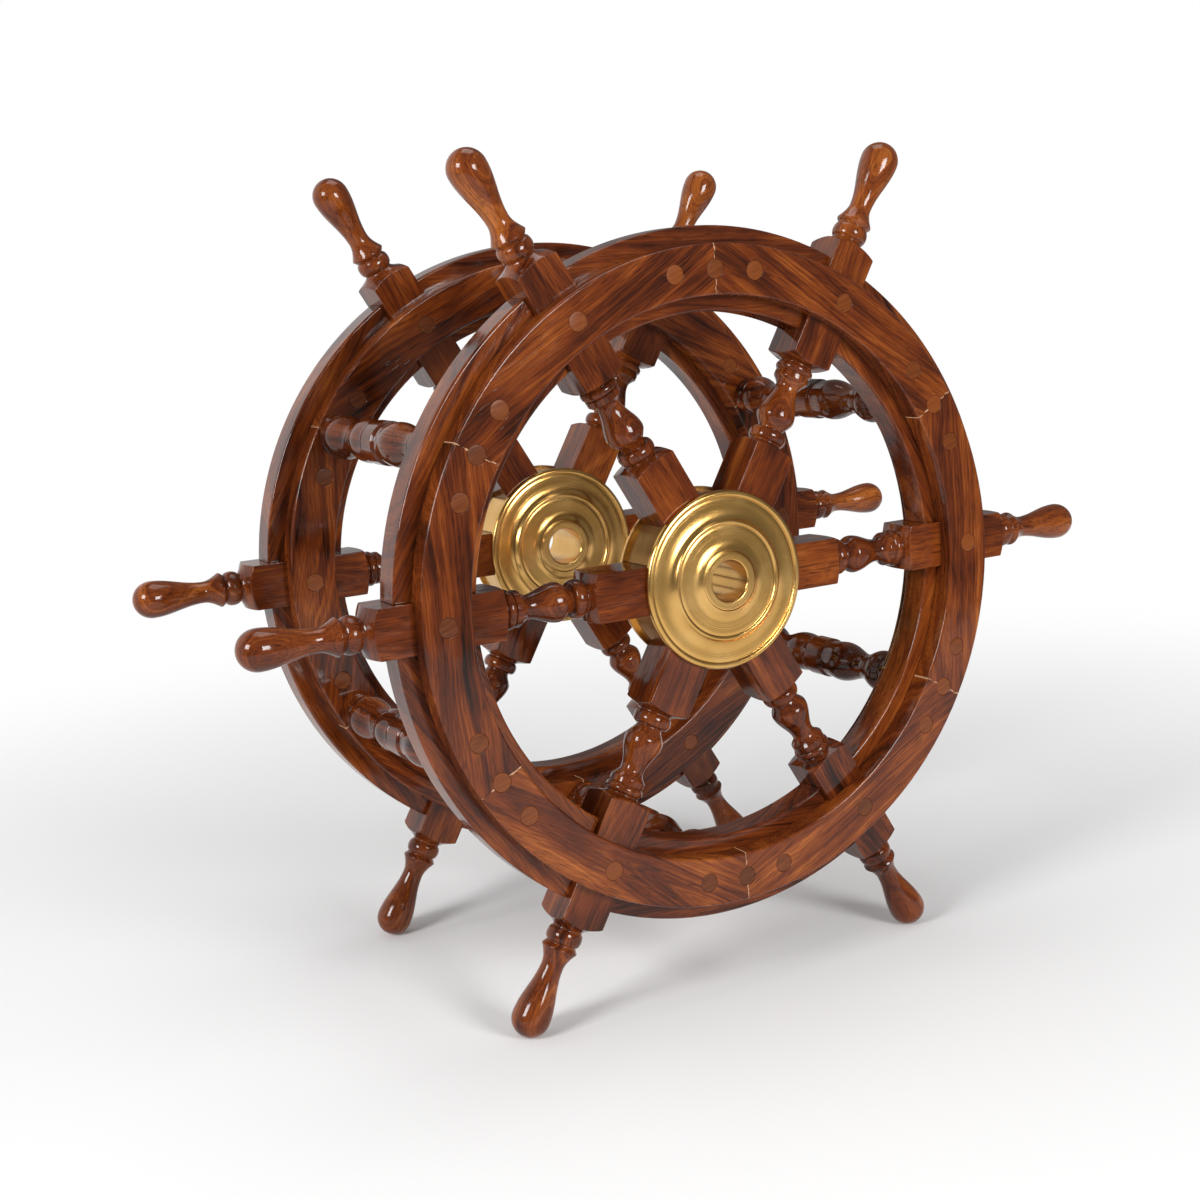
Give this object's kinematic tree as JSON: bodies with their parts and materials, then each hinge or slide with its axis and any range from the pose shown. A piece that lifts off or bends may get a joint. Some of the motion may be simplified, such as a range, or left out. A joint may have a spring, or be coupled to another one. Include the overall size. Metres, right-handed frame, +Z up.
{
  "type": "ship's wheel bottle rack",
  "caption": "Bottle rack made of a pair of spoked ship's wheels in varnished hardwood with brass hubs, tied together by turned spindles.",
  "frame": {"origin": "on the floor, midway between the two wheels and below their common axis", "axes": "+Y along the wheels' axis from the front wheel to the rear one, +Z up, +X to the right seen from the front"},
  "size_m": [0.7104, 0.312, 0.619],
  "materials": {
    "turned_wood": "glossy varnish over turned rosewood",
    "felloe_wood": "glossy varnish over rosewood",
    "plate_wood": "glossy varnish over figured rosewood",
    "plug_wood": "glossy varnish over flush wooden plugs",
    "polished_brass": "turned and polished brass",
    "screw_steel": "plain steel"
  },
  "bodies": {
    "root": {"front_spoke_1": "turned_wood", "front_spoke_2": "turned_wood", "front_spoke_3": "turned_wood", "front_spoke_4": "turned_wood", "front_spoke_5": "turned_wood", "front_spoke_6": "turned_wood", "rear_spoke_1": "turned_wood", "rear_spoke_2": "turned_wood", "rear_spoke_3": "turned_wood", "rear_spoke_4": "turned_wood", "rear_spoke_5": "turned_wood", "rear_spoke_6": "turned_wood", "front_felloe_1": "felloe_wood", "front_felloe_2": "felloe_wood", "front_felloe_3": "felloe_wood", "front_felloe_4": "felloe_wood", "front_felloe_5": "felloe_wood", "front_felloe_6": "felloe_wood", "rear_felloe_1": "felloe_wood", "rear_felloe_2": "felloe_wood", "rear_felloe_3": "felloe_wood", "rear_felloe_4": "felloe_wood", "rear_felloe_5": "felloe_wood", "rear_felloe_6": "felloe_wood", "spindle_1": "turned_wood", "spindle_2": "turned_wood", "spindle_3": "turned_wood", "spindle_4": "turned_wood", "spindle_5": "turned_wood", "spindle_6": "turned_wood", "front_wheel_front_plates": "plate_wood", "front_wheel_back_plates": "plate_wood", "rear_wheel_front_plates": "plate_wood", "rear_wheel_back_plates": "plate_wood", "front_wheel_front_plugs": "plug_wood", "front_wheel_back_plugs": "plug_wood", "rear_wheel_front_plugs": "plug_wood", "rear_wheel_back_plugs": "plug_wood", "front_wheel_front_screws": "screw_steel", "front_wheel_back_screws": "screw_steel", "rear_wheel_front_screws": "screw_steel", "rear_wheel_back_screws": "screw_steel", "front_spindle_screws": "screw_steel", "rear_spindle_screws": "screw_steel", "front_wheel_front_flange": "polished_brass", "front_wheel_back_flange": "polished_brass", "rear_wheel_front_flange": "polished_brass", "rear_wheel_back_flange": "polished_brass", "front_hub_band": "polished_brass", "rear_hub_band": "polished_brass", "front_hub_bush": "polished_brass", "rear_hub_bush": "polished_brass"}
  },
  "joints": []
}
